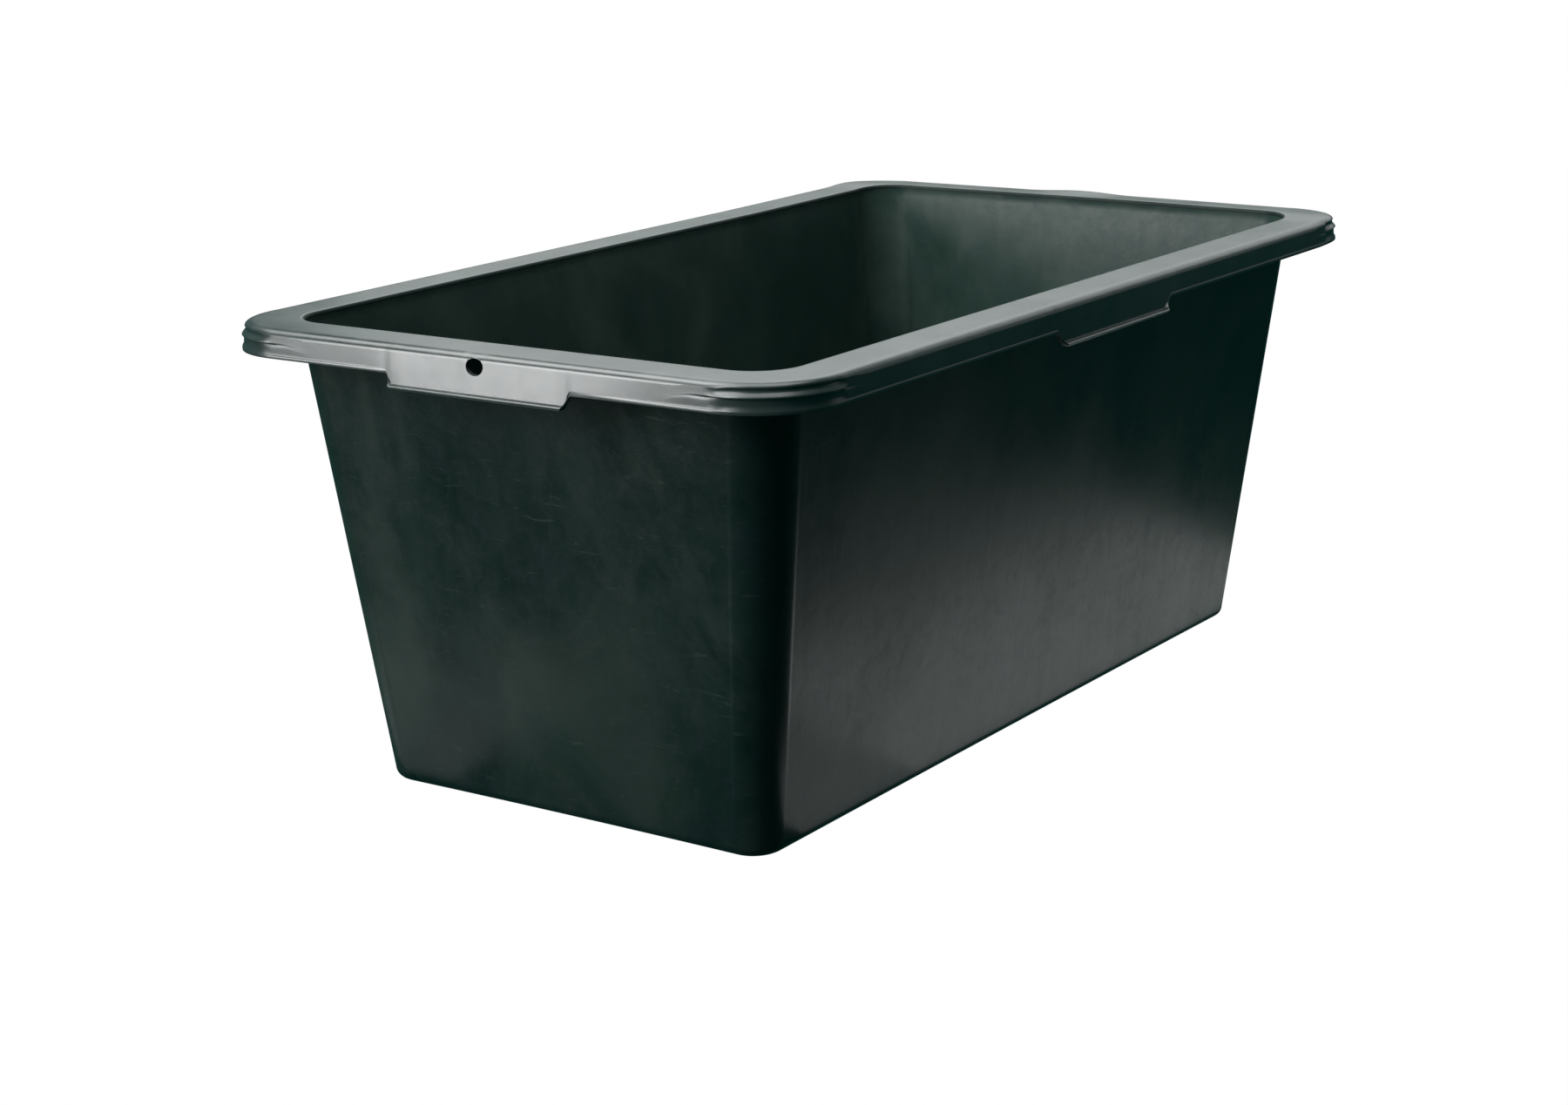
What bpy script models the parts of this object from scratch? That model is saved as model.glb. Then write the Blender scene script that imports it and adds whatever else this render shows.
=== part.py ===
# Rectangular mortar mixing tub, moulded in black plastic.
#
# The tub stands on its floor at z = 0, with the origin at the middle of the base.
# +X runs along its length and +Y across it. The left end (-X) has the hanging hole in its grip.
# The real tub is one moulding. Here each region of it is a solid of its own: the floor, the four
# walls and their corner posts, the rim's flat top, the skirt that hangs from it, the four grips
# and the gussets under the rim. Neighbours keep a hairline gap.

import math

import bmesh
import bpy

# Driving dimensions, metres
RIM_LENGTH = 0.750
RIM_WIDTH = 0.435
TUB_HEIGHT = 0.303
RIM_CORNER_RADIUS = 0.054

WALL_TOP_LENGTH = 0.6885
WALL_TOP_WIDTH = 0.3735
WALL_TOP_RADIUS = 0.032
BASE_LENGTH = 0.626
BASE_WIDTH = 0.301
BASE_RADIUS = 0.022
BASE_FILLET = 0.0075
WALL_THICKNESS = 0.003
FLOOR_THICKNESS = 0.003

FLANGE_THICKNESS = 0.003
SHOULDER_RADIUS = 0.0045
SKIRT_INSET = 0.0008
SKIRT_THICKNESS = 0.0025
SKIRT_DEPTH = 0.0175
LIP_HEIGHT = 0.0016
COVE_DEPTH = 0.0018
COVE_BOTTOM = 0.0088

GRIP_DEPTH = 0.026
GRIP_HALF_LENGTH = 0.066
GRIP_SHOULDER = 0.009
GRIP_LIP = 0.004

HOLE_HALF_WIDTH = 0.0061
HOLE_HALF_HEIGHT = 0.005
HOLE_DEPTH = 0.0088

GUSSET_THICKNESS = 0.0025
GUSSET_DEPTH = 0.015
LONG_GUSSET_PITCH = 0.0815
END_GUSSET_OFFSET = 0.07

# The lip's section, in shares of its height
LIP_FLARE = 0.5
LIP_NOSE = 0.2
LIP_CHAMFER = 0.3

# The cove's section, in shares of its height and depth
COVE_STRAIGHT = 0.55
COVE_RUNOUT = 0.8
COVE_RUNOUT_DEPTH = 0.3
LEDGE_FOOT = 1.5 * LIP_HEIGHT

# The grip's shoulder: (share of its length past the grip's end, share of the extra depth)
GRIP_SHOULDER_CURVE = ((1, 0), (0.55, 0.1), (0.22, 0.42), (0, 1))

# A gusset's depth at the skirt, and how far the hole's cutter reaches out of and into the tub
GUSSET_SKIRT_DEPTH = 0.8 * GUSSET_DEPTH
CUTTER_REACH = (-2 * SKIRT_THICKNESS, 3 * SKIRT_THICKNESS)

# Heights of the rings that round the floor's foot, and depths of those that round the rim
FOOT_LEVELS = (0, 0.0005, 0.0015, FLOOR_THICKNESS)
SHOULDER_LEVELS = (0, 0.0005, 0.0015, FLANGE_THICKNESS)

GAP = 0.0003
CORNER_SEGMENTS = 10
HOLE_SEGMENTS = 24
SHARP_ANGLE = math.radians(35)

# Colour and roughness of the plastic
SHELL_FINISH = ((0.014, 0.019, 0.017), 0.46)
RIM_FINISH = ((0.016, 0.021, 0.019), 0.38)
GUSSET_FINISH = ((0.014, 0.019, 0.017), 0.5)

# Each side: its outward direction, the direction along it, and the axis it faces
SIDES = {
    "left": ((-1, 0), (0, 1), "x"),
    "right": ((1, 0), (0, 1), "x"),
    "front": ((0, -1), (1, 0), "y"),
    "back": ((0, 1), (1, 0), "y"),
}
CORNERS = {
    "left_front": (-1, -1),
    "left_back": (-1, 1),
    "right_front": (1, -1),
    "right_back": (1, 1),
}
NEIGHBOURS = {
    "left": ("front", "back"),
    "right": ("front", "back"),
    "front": ("left", "right"),
    "back": ("left", "right"),
}


def clear_scene():
    for obj in list(bpy.data.objects):
        bpy.data.objects.remove(obj, do_unlink=True)


def make_material(name, color, roughness):
    material = bpy.data.materials.new(name)
    material.use_nodes = True
    shader = material.node_tree.nodes["Principled BSDF"]
    shader.inputs["Base Color"].default_value = (*color, 1)
    shader.inputs["Roughness"].default_value = roughness
    shader.inputs["Metallic"].default_value = 0
    return material


def add_solid(name, rings, material):
    """A closed solid skinned over a row of rings, each with the same number of points, and capped."""
    mesh = bmesh.new()
    loops = [[mesh.verts.new(point) for point in ring] for ring in rings]
    for first, second in zip(loops, loops[1:]):
        for i, corner in enumerate(first):
            mesh.faces.new((first[i - 1], corner, second[i], second[i - 1]))
    mesh.faces.new(loops[0])
    mesh.faces.new(loops[-1])
    bmesh.ops.recalc_face_normals(mesh, faces=mesh.faces)
    data = bpy.data.meshes.new(name)
    mesh.to_mesh(data)
    mesh.free()
    data.shade_smooth()
    data.set_sharp_from_angle(angle=SHARP_ANGLE)
    if material:
        data.materials.append(material)
    obj = bpy.data.objects.new(name, data)
    bpy.context.collection.objects.link(obj)
    return obj


# The tapered shell


def share_of_height(z):
    return max(0, (z - BASE_FILLET) / (TUB_HEIGHT - BASE_FILLET))


def blend(low, high, share):
    return low + (high - low) * share


def wall_half(axis, z):
    """Half the outside length or width of the shell at a height, before the fillet at its foot."""
    if axis == "x":
        return blend(BASE_LENGTH, WALL_TOP_LENGTH, share_of_height(z)) / 2
    return blend(BASE_WIDTH, WALL_TOP_WIDTH, share_of_height(z)) / 2


def wall_radius(z):
    return blend(BASE_RADIUS, WALL_TOP_RADIUS, share_of_height(z))


def fillet_inset(z):
    """How far the rounded foot draws the outline in at a height."""
    if z >= BASE_FILLET:
        return 0
    return BASE_FILLET * (1 - math.sqrt(1 - (1 - z / BASE_FILLET) ** 2))


def wall_profile():
    """Points of the wall's section as (inset, z), up the outside and down the inside."""
    foot = FLOOR_THICKNESS + GAP
    top = TUB_HEIGHT - FLANGE_THICKNESS - GAP
    levels = [foot, (foot + BASE_FILLET) / 2, BASE_FILLET, TUB_HEIGHT / 2, top]
    outside = [(fillet_inset(z), z) for z in levels]
    inside = [(inset + WALL_THICKNESS, z) for inset, z in reversed(outside)]
    return outside + inside


def corner_point(corner, centre, reach, angle):
    """A point round one corner: the angle runs from the X side (0) to the Y side (90 degrees)."""
    x_sign, y_sign = corner
    x = x_sign * (centre[0] + reach * math.cos(angle))
    y = y_sign * (centre[1] + reach * math.sin(angle))
    return x, y


def corner_angles():
    return [math.radians(90) * i / CORNER_SEGMENTS for i in range(CORNER_SEGMENTS + 1)]


def side_point(side, outward, along):
    normal, tangent, _ = SIDES[side]
    return (
        normal[0] * outward + tangent[0] * along,
        normal[1] * outward + tangent[1] * along,
    )


def add_floor(material):
    rings = []
    for z in FOOT_LEVELS:
        radius = wall_radius(z)
        centre = (wall_half("x", z) - radius, wall_half("y", z) - radius)
        reach = radius - fillet_inset(z)
        ring = []
        for corner in ((1, 1), (-1, 1), (-1, -1), (1, -1)):
            angles = corner_angles()
            if corner[0] * corner[1] < 0:
                angles.reverse()
            for angle in angles:
                ring.append((*corner_point(corner, centre, reach, angle), z))
        rings.append(ring)
    add_solid("floor_panel", rings, material)


def add_wall(side, material):
    axis = SIDES[side][2]
    other = "y" if axis == "x" else "x"
    rings = []
    for end in (-1, 1):
        ring = []
        for inset, z in wall_profile():
            along = end * (wall_half(other, z) - wall_radius(z) - GAP)
            ring.append((*side_point(side, wall_half(axis, z) - inset, along), z))
        rings.append(ring)
    add_solid(f"wall_{side}", rings, material)


def add_wall_corner(name, material):
    rings = []
    for angle in corner_angles():
        ring = []
        for inset, z in wall_profile():
            radius = wall_radius(z)
            centre = (wall_half("x", z) - radius, wall_half("y", z) - radius)
            ring.append((*corner_point(CORNERS[name], centre, radius - inset, angle), z))
        rings.append(ring)
    add_solid(f"wall_corner_{name}", rings, material)


# The rim: profiles are lists of (inset from the rim's outline, depth below its top)


def rim_half(axis):
    return (RIM_LENGTH if axis == "x" else RIM_WIDTH) / 2


def opening_inset():
    """From the rim's outline to the inside face of the walls, at the top."""
    return (RIM_LENGTH - WALL_TOP_LENGTH) / 2 + WALL_THICKNESS


def shoulder_inset(depth):
    drop = max(0, SHOULDER_RADIUS - depth)
    return SKIRT_INSET + SHOULDER_RADIUS - math.sqrt(SHOULDER_RADIUS**2 - drop**2)


def flange_profile():
    shoulder = [(shoulder_inset(depth), depth) for depth in SHOULDER_LEVELS]
    return shoulder + [(opening_inset(), FLANGE_THICKNESS), (opening_inset(), 0)]


def skirt_profile(depth, lip):
    """The hanging skirt, with a lip along its bottom edge that stands out past the outline."""
    top = FLANGE_THICKNESS + GAP
    foot = depth - LIP_HEIGHT
    flare = foot - LIP_FLARE * LIP_HEIGHT - lip / 2
    inner = SKIRT_INSET + SKIRT_THICKNESS
    return [
        (shoulder_inset(top), top),
        (SKIRT_INSET, SHOULDER_RADIUS),
        (SKIRT_INSET, flare),
        (-lip, foot),
        (-lip, depth - LIP_NOSE * LIP_HEIGHT),
        (LIP_CHAMFER * LIP_HEIGHT - lip, depth),
        (inner, depth),
        (inner, top),
    ]


def cove_profile():
    """The corner's skirt, hollowed by a cove under the shoulder that ends on a ledge."""
    top = FLANGE_THICKNESS + GAP
    cove = SKIRT_INSET + COVE_DEPTH
    span = COVE_BOTTOM - top
    inner = cove + SKIRT_THICKNESS
    return [
        (cove, top),
        (cove, top + COVE_STRAIGHT * span),
        (SKIRT_INSET + COVE_RUNOUT_DEPTH * COVE_DEPTH, top + COVE_RUNOUT * span),
        (SKIRT_INSET, COVE_BOTTOM),
        (SKIRT_INSET, SKIRT_DEPTH - LEDGE_FOOT),
        (0, SKIRT_DEPTH - LIP_HEIGHT),
        (0, SKIRT_DEPTH - LIP_NOSE * LIP_HEIGHT),
        (LIP_CHAMFER * LIP_HEIGHT, SKIRT_DEPTH),
        (inner, SKIRT_DEPTH),
        (inner, top),
    ]


def opening_centre():
    radius = WALL_TOP_RADIUS - WALL_THICKNESS
    inset = opening_inset()
    return rim_half("x") - inset - radius, rim_half("y") - inset - radius, radius


def add_flange(side, material):
    """One straight strip of the rim's flat top. Its ends slant, as the corners' do."""
    axis = SIDES[side][2]
    outer_end = rim_half("y" if axis == "x" else "x") - RIM_CORNER_RADIUS - GAP
    inner_end = opening_centre()[1 if axis == "x" else 0] - GAP
    rings = []
    for end in (-1, 1):
        ring = []
        for inset, depth in flange_profile():
            along = end * blend(outer_end, inner_end, inset / opening_inset())
            ring.append((*side_point(side, rim_half(axis) - inset, along), TUB_HEIGHT - depth))
        rings.append(ring)
    add_solid(f"rim_flange_{side}", rings, material)


def add_flange_corner(name, material):
    outer = (rim_half("x") - RIM_CORNER_RADIUS, rim_half("y") - RIM_CORNER_RADIUS)
    inner_x, inner_y, inner_radius = opening_centre()
    rings = []
    for angle in corner_angles():
        far = corner_point(CORNERS[name], outer, RIM_CORNER_RADIUS, angle)
        near = corner_point(CORNERS[name], (inner_x, inner_y), inner_radius, angle)
        ring = []
        for inset, depth in flange_profile():
            share = inset / opening_inset()
            x = blend(far[0], near[0], share)
            y = blend(far[1], near[1], share)
            ring.append((x, y, TUB_HEIGHT - depth))
        rings.append(ring)
    add_solid(f"rim_corner_{name}", rings, material)


def add_skirt_corner(name, material):
    centre = (rim_half("x") - RIM_CORNER_RADIUS, rim_half("y") - RIM_CORNER_RADIUS)
    rings = []
    for angle in corner_angles():
        ring = []
        for inset, depth in cove_profile():
            x, y = corner_point(CORNERS[name], centre, RIM_CORNER_RADIUS - inset, angle)
            ring.append((x, y, TUB_HEIGHT - depth))
        rings.append(ring)
    add_solid(f"skirt_corner_{name}", rings, material)


def side_rings(side, stations):
    """Rings along a side from (along, profile) stations."""
    axis = SIDES[side][2]
    rings = []
    for along, profile in stations:
        ring = []
        for inset, depth in profile:
            ring.append((*side_point(side, rim_half(axis) - inset, along), TUB_HEIGHT - depth))
        rings.append(ring)
    return rings


def add_skirts(side, material):
    """The two lengths of skirt on either side of a grip."""
    axis = SIDES[side][2]
    start = GRIP_HALF_LENGTH + GRIP_SHOULDER + GAP
    end = rim_half("y" if axis == "x" else "x") - RIM_CORNER_RADIUS - GAP
    profile = skirt_profile(SKIRT_DEPTH, 0)
    for sign, neighbour in zip((-1, 1), NEIGHBOURS[side]):
        rings = side_rings(side, [(sign * start, profile), (sign * end, profile)])
        add_solid(f"skirt_{side}_by_{neighbour}", rings, material)


def add_grip(side, material):
    """The deeper middle of a skirt, with rounded shoulders and a lip that the fingers pull on."""
    half = []
    for out, drop in GRIP_SHOULDER_CURVE:
        along = GRIP_HALF_LENGTH + GRIP_SHOULDER * out
        half.append((along, skirt_profile(blend(SKIRT_DEPTH, GRIP_DEPTH, drop), GRIP_LIP * drop)))
    stations = [(-along, profile) for along, profile in half]
    stations += list(reversed(half))
    return add_solid(f"grip_{side}", side_rings(side, stations), material)


def cut_hanging_hole(grip):
    """A hole through the left grip, wide enough for a hook or a cord."""
    x = -rim_half("x")
    z = TUB_HEIGHT - HOLE_DEPTH
    rings = []
    for reach in CUTTER_REACH:
        ring = []
        for i in range(HOLE_SEGMENTS):
            turn = 2 * math.pi * i / HOLE_SEGMENTS
            y = HOLE_HALF_WIDTH * math.cos(turn)
            ring.append((x + reach, y, z + HOLE_HALF_HEIGHT * math.sin(turn)))
        rings.append(ring)
    cutter = add_solid("hanging_hole_cutter", rings, None)
    cutter.hide_render = True
    cutter.display_type = "WIRE"
    cut = grip.modifiers.new("hanging_hole", "BOOLEAN")
    cut.object = cutter
    cut.operation = "DIFFERENCE"
    cut.solver = "EXACT"


def add_gusset(side, number, along, material):
    """A web under the rim that ties the skirt to the wall."""
    axis = SIDES[side][2]
    top = FLANGE_THICKNESS + GAP
    skirt_face = SKIRT_INSET + SKIRT_THICKNESS + GAP

    def wall_face(depth):
        return rim_half(axis) - wall_half(axis, TUB_HEIGHT - depth) - GAP

    profile = [
        (skirt_face, top),
        (wall_face(top), top),
        (wall_face(GUSSET_DEPTH), GUSSET_DEPTH),
        (skirt_face, GUSSET_SKIRT_DEPTH),
    ]
    half = GUSSET_THICKNESS / 2
    rings = side_rings(side, [(along - half, profile), (along + half, profile)])
    add_solid(f"gusset_{side}_{number}", rings, material)


def gusset_places(side):
    if SIDES[side][2] == "x":
        return [-END_GUSSET_OFFSET, END_GUSSET_OFFSET]
    return [LONG_GUSSET_PITCH * step for step in (-3, -2, -1, 1, 2, 3)]


def main():
    clear_scene()
    shell = make_material("shell_plastic", *SHELL_FINISH)
    rim = make_material("rim_plastic", *RIM_FINISH)
    web = make_material("gusset_plastic", *GUSSET_FINISH)

    add_floor(shell)
    for side in SIDES:
        add_wall(side, shell)
        add_flange(side, rim)
        add_skirts(side, rim)
        grip = add_grip(side, rim)
        if side == "left":
            cut_hanging_hole(grip)
        for number, along in enumerate(gusset_places(side), 1):
            add_gusset(side, number, along, web)
    for corner in CORNERS:
        add_wall_corner(corner, shell)
        add_flange_corner(corner, rim)
        add_skirt_corner(corner, rim)


main()
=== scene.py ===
import math

import bmesh
import bpy
import numpy as np
from mathutils import Matrix, Vector


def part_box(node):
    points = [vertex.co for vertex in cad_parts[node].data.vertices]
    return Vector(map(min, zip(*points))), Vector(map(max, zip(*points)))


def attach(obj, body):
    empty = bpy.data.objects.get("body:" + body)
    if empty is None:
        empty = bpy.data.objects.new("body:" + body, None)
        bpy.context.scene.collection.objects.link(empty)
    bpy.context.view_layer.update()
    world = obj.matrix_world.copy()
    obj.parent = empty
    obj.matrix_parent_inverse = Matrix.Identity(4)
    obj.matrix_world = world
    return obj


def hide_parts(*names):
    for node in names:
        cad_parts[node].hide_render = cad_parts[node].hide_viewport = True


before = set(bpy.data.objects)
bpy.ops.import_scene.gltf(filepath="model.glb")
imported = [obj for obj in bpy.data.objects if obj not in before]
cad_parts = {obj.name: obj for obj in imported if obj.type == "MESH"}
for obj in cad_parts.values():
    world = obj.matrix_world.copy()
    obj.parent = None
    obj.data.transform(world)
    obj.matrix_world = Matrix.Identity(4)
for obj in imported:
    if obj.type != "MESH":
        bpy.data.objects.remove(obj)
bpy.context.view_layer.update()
print("frame loaded:", len(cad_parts), "CAD nodes")

sideNames = ["right", "back", "left", "front"]
cornerNames = ["right_back", "left_back", "left_front", "right_front"]
neighbours = {
    "right": ("front", "back"),
    "left": ("front", "back"),
    "back": ("left", "right"),
    "front": ("left", "right"),
}

# Sizes taken from the frame, in metres
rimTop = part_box("rim_flange_left")[1].z
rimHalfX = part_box("skirt_corner_right_back")[1].x
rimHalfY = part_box("skirt_corner_right_back")[1].y
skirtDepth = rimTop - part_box("skirt_front_by_left")[0].z
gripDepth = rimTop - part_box("grip_left")[0].z
gripNose = -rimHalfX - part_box("grip_left")[0].x
gussetPlaces = {}
for sideName in sideNames:
    axis = 1 if sideName in ("left", "right") else 0
    webs = sorted(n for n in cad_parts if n.startswith("gusset_" + sideName))
    gussetPlaces[sideName] = {n: (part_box(n)[0][axis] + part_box(n)[1][axis]) / 2 for n in webs}

# Insets are measured inward from the rim's outline, and depths down from its top
rim = {
    "cornerRadius": 0.052,
    "openingInset": 0.0346,
    "openingRadius": 0.0285,
    "bendRadius": 0.0022,
    "flangeThickness": 0.003,
    "shoulderReach": 0.0072,
    "shoulderDepth": 0.0045,
    "faceInset": 0.0008,
    "faceLean": 0.06,
    "skirtThickness": 0.0025,
    "beadHeight": 0.0026,
    "beadNose": 0.0002,
    "footRound": (0.0004, 0.0005),
    "backShares": (0.3, 0.62, 0.82, 1),  # rows up the skirt's inner face
    "backTop": 0.0045,
    "backFlare": 0.62,
    "backBend": (0.0004, 0.0034),
    "backStep": 0.0014,
    "coveFade": 0.008,  # how far the cove runs onto the long sides
    "coveStart": 0.004,
    "coveRamp": 0.018,
    "coveBacking": 0.0012,
    "creaseFade": 0.021,
    "creaseDepth": 0.0004,
    "creasePlace": 0.0087,
    "creaseWidth": 0.00035,
    "rowStart": 0.034,  # where the face's rows leave even spacing for the corner's
    "rowRamp": 0.022,
}
grip = {
    "lipHeight": 0.0027,
    "lipNose": gripNose + 0.0004,
    "backNose": 0.55,
    # how far the hole's side leans, from its front end to its back end
    "leftLean": (
        (-0.165, 0.052),
        (-0.13, 0.060),
        (-0.085, 0.088),
        (-0.055, 0.100),
        (0.058, 0.102),
        (0.082, 0.060),
        (0.165, 0.050),
    ),
    # where each grip's depth starts to grow and where it is full, from low to high along its side
    "ends": {
        "left": (-0.0690, -0.0640, 0.0655, 0.0700),
        "right": (-0.0715, -0.0662, 0.0655, 0.0708),
        "front": (-0.0805, -0.0740, 0.0610, 0.0730),
        "back": (-0.0805, -0.0740, 0.0610, 0.0730),
    },
}
hangingHole = {
    "halfWidth": 0.0061,
    "halfHeight": 0.005,
    "depth": 0.0075,
    "place": 0.0015,
    "edge": 0.0004,
    "throatInset": 0.00032,
    "throatRows": (0, 0.35, 0.7, 1),
    "throatSteps": 40,
    "patchReach": 0.0098,
    "patchAbove": 0.0022,
    "patchBelow": 0.0024,
    "patchBehind": 0.004,
    "patchShares": (0.3, 0.55, 0.75, 0.89, 0.97, 1.0),
}

# Stations go round the tub anticlockwise from its right side. Each is a place on a unit square
# and the direction it faces, so every outline of the tub is walked in step. They stand closer
# together where the rim has detail: (reach, pitch) at each kind of place.
stations = {
    "plainPitch": 0.0065,
    "gripLow": (0.006, 0.0007),
    "gripHigh": (0.008, 0.0008),
    "gusset": (0.005, 0.001),
    "corner": (0.014, 0.0016),
    "hole": (hangingHole["patchReach"] + 0.001, 0.0014),
    "searchStep": 0.0001,
    "perCorner": 30,
}


def placesAlong(half, marks):
    fine = np.linspace(-half, half, int(2 * half / stations["searchStep"]) + 1)
    step = np.full(len(fine), stations["plainPitch"])
    for middle, reach, pitch in marks:
        near = abs(fine - middle) < reach
        step[near] = np.minimum(step[near], pitch)
    passed = np.cumsum((1 / step[1:] + 1 / step[:-1]) / 2 * np.diff(fine))
    count = np.concatenate([[0], passed])
    return np.interp(np.linspace(0, count[-1], math.ceil(count[-1]) + 1), count, fine)


def sideMarks(name, half):
    low, lowFull, highFull, high = grip["ends"][name]
    marks = [((low + lowFull) / 2, *stations["gripLow"])]
    marks += [((highFull + high) / 2, *stations["gripHigh"])]
    marks += [(place, *stations["gusset"]) for place in gussetPlaces[name].values()]
    marks += [(-half, *stations["corner"]), (half, *stations["corner"])]
    if name == "left":
        marks.append((hangingHole["place"], *stations["hole"]))
    return marks


def straightHalf(number):
    return (rimHalfY if number % 2 == 0 else rimHalfX) - rim["cornerRadius"]


uPlaces, vPlaces, turns, alongs, sides = [], [], [], [], []
for number, name in enumerate(sideNames):
    half = straightHalf(number)
    places = placesAlong(half, sideMarks(name, half))
    if name in ("back", "left"):
        places = places[::-1]
    for place in places:
        share = place / half
        uPlaces.append((1, share, -1, share)[number])
        vPlaces.append((share, 1, share, -1)[number])
        turns.append(math.pi / 2 * number)
        alongs.append(place)
        sides.append(number)
    for i in range(1, stations["perCorner"]):
        uPlaces.append((1, -1, -1, 1)[number])
        vPlaces.append((1, 1, -1, -1)[number])
        turns.append(math.pi / 2 * (number + i / stations["perCorner"]))
        alongs.append(0)
        sides.append(-1 - number)  # corners have negative numbers
uPlaces, vPlaces, turns, alongs, sides = map(np.array, (uPlaces, vPlaces, turns, alongs, sides))
stationCount = len(turns)
facing = np.stack([np.cos(turns), np.sin(turns)], axis=1)


def outline(halfX, halfY, radius, inset=0.0):
    x = (halfX - radius) * uPlaces + (radius - inset) * facing[:, 0]
    y = (halfY - radius) * vPlaces + (radius - inset) * facing[:, 1]
    return np.stack([x, y], axis=1)


def smooth(share):
    share = np.clip(share, 0, 1)
    return share * share * (3 - 2 * share)


def ramp(value, start, length):
    return smooth((value - start) / length)


def quarterTurn(count):
    return [math.pi / 2 * i / (count - 1) for i in range(count)]


# How much of a grip, and how much of a corner's cove, there is at each station
gripShare = np.zeros(stationCount)
faceLean = np.full(stationCount, rim["faceLean"])
distanceToCorner = np.zeros(stationCount)
for number, name in enumerate(sideNames):
    here = sides == number
    low, lowFull, highFull, high = grip["ends"][name]
    rise = ramp(alongs, low, lowFull - low) * smooth((high - alongs) / (high - highFull))
    gripShare[here] = rise[here]
    if name == "left":
        leanPlaces, leans = zip(*grip["leftLean"])
        faceLean[here] = np.interp(alongs[here], leanPlaces, leans)
    distanceToCorner[here] = straightHalf(number) - abs(alongs[here])

# From the short sides the cove deepens slowly, well into the corner. It runs a little way onto
# the long sides and ends there.
turnFromShort = abs((turns + math.pi / 2) % math.pi - math.pi / 2)
intoCorner = np.where(sides < 0, turnFromShort * rim["cornerRadius"], -distanceToCorner)
coveShare = ramp(intoCorner, -rim["coveStart"], rim["coveRamp"])
onLongSide = (sides == 1) | (sides == 3)
coveShare = np.where(onLongSide, smooth(1 - distanceToCorner / rim["coveFade"]), coveShare)
creaseShare = smooth(1 - distanceToCorner / rim["creaseFade"])
rowShare = smooth((rim["rowStart"] - distanceToCorner) / rim["rowRamp"])

# The rim's section is a row of (inset, depth) points from the flat top to the skirt's foot. The
# straight runs and the corners have the same count of points, so one turns into the other.
straightShoulder = [
    (
        rim["faceInset"] + rim["shoulderReach"] * (1 - math.sin(t)),
        rim["shoulderDepth"] * (1 - math.cos(t)),
    )
    for t in quarterTurn(9)
]
cornerShoulder = [
    (0.0068, 0.0),
    (0.0057, 0.0001),
    (0.0047, 0.0004),
    (0.0038, 0.0008),
    (0.0031, 0.0012),
    (0.0026, 0.00165),
    (0.0023, 0.0021),
    (0.0021, 0.0025),
    (0.0021, 0.0029),
]
# the cove, the ledge below it, the crease under the ledge and the plain foot
cornerFace = [
    (0.00231, 0.0031),
    (0.00256, 0.0037),
    (0.0026, 0.0043),
    (0.00239, 0.005),
    (0.00189, 0.0057),
    (0.0013, 0.0063),
    (0.0008, 0.0069),
    (0.00038, 0.0074),
    (0.00008, 0.00785),
    (0.00004, 0.0082),
    (0.00038, 0.0085),
    (0.00105, 0.0087),
    (0.00122, 0.0091),
    (0.00117, 0.0105),
    (0.00109, 0.0122),
    (0.00096, 0.0138),
]
# the lip's profile, as shares of its nose and of its height
lipShape = [
    (0, 1),
    (0.08, 0.93),
    (0.3, 0.86),
    (0.62, 0.77),
    (0.88, 0.64),
    (1, 0.42),
    (0.97, 0.18),
    (0.85, 0),
]

sectionPoints = []
bottom = skirtDepth + (gripDepth - skirtDepth) * gripShare
lipHeight = rim["beadHeight"] + (grip["lipHeight"] - rim["beadHeight"]) * gripShare
lipNose = rim["beadNose"] + (grip["lipNose"] - rim["beadNose"]) * gripShare**3
faceFoot = bottom - lipHeight
faceDraft = faceLean * (faceFoot - rim["shoulderDepth"])
for (inset, depth), (cornerInset, cornerDepth) in zip(straightShoulder, cornerShoulder):
    blendedInset = inset + (cornerInset - inset) * coveShare
    sectionPoints.append((blendedInset, depth + (cornerDepth - depth) * coveShare))
shoulderEnd = len(sectionPoints) - 1
for i, (cornerInset, cornerDepth) in enumerate(cornerFace):
    share = (i + 1) / (len(cornerFace) + 1)
    depth = rim["shoulderDepth"] + (faceFoot - rim["shoulderDepth"]) * share
    inset = rim["faceInset"] - faceDraft * share
    depth = depth + (cornerDepth - depth) * rowShare
    # the crease under the ledge runs on a little past the corner
    offCrease = (cornerDepth - rim["creasePlace"]) / rim["creaseWidth"]
    crease = rim["creaseDepth"] * math.exp(-(offCrease**2)) * creaseShare
    inset = inset + crease * (1 - coveShare) + (cornerInset - inset) * coveShare
    sectionPoints.append((inset, depth))
for out, up in lipShape:
    faceInset = rim["faceInset"] - faceDraft
    sectionPoints.append((faceInset - (faceInset + lipNose) * out, bottom - lipHeight * up))
lipEnd = len(sectionPoints) - 1
innerInset = rim["faceInset"] + rim["skirtThickness"] + rim["coveBacking"] * coveShare
innerFoot = innerInset - faceDraft - (grip["lipNose"] * grip["backNose"]) * gripShare
footIn, footUp = rim["footRound"]
sectionPoints.append((innerFoot, bottom))
sectionPoints.append((innerFoot + footIn, bottom - footUp))
for share in rim["backShares"]:
    drop = bottom - footUp - (bottom - rim["backTop"]) * share
    flare = (1 - smooth(share / rim["backFlare"])) * (innerFoot + footIn - innerInset)
    sectionPoints.append((innerInset + flare, drop))
for step, depth in (rim["backBend"], (rim["backStep"], rim["flangeThickness"])):
    sectionPoints.append((innerInset + step, np.full(stationCount, depth)))
print("rim section:", len(sectionPoints), "points at", stationCount, "stations")

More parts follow.
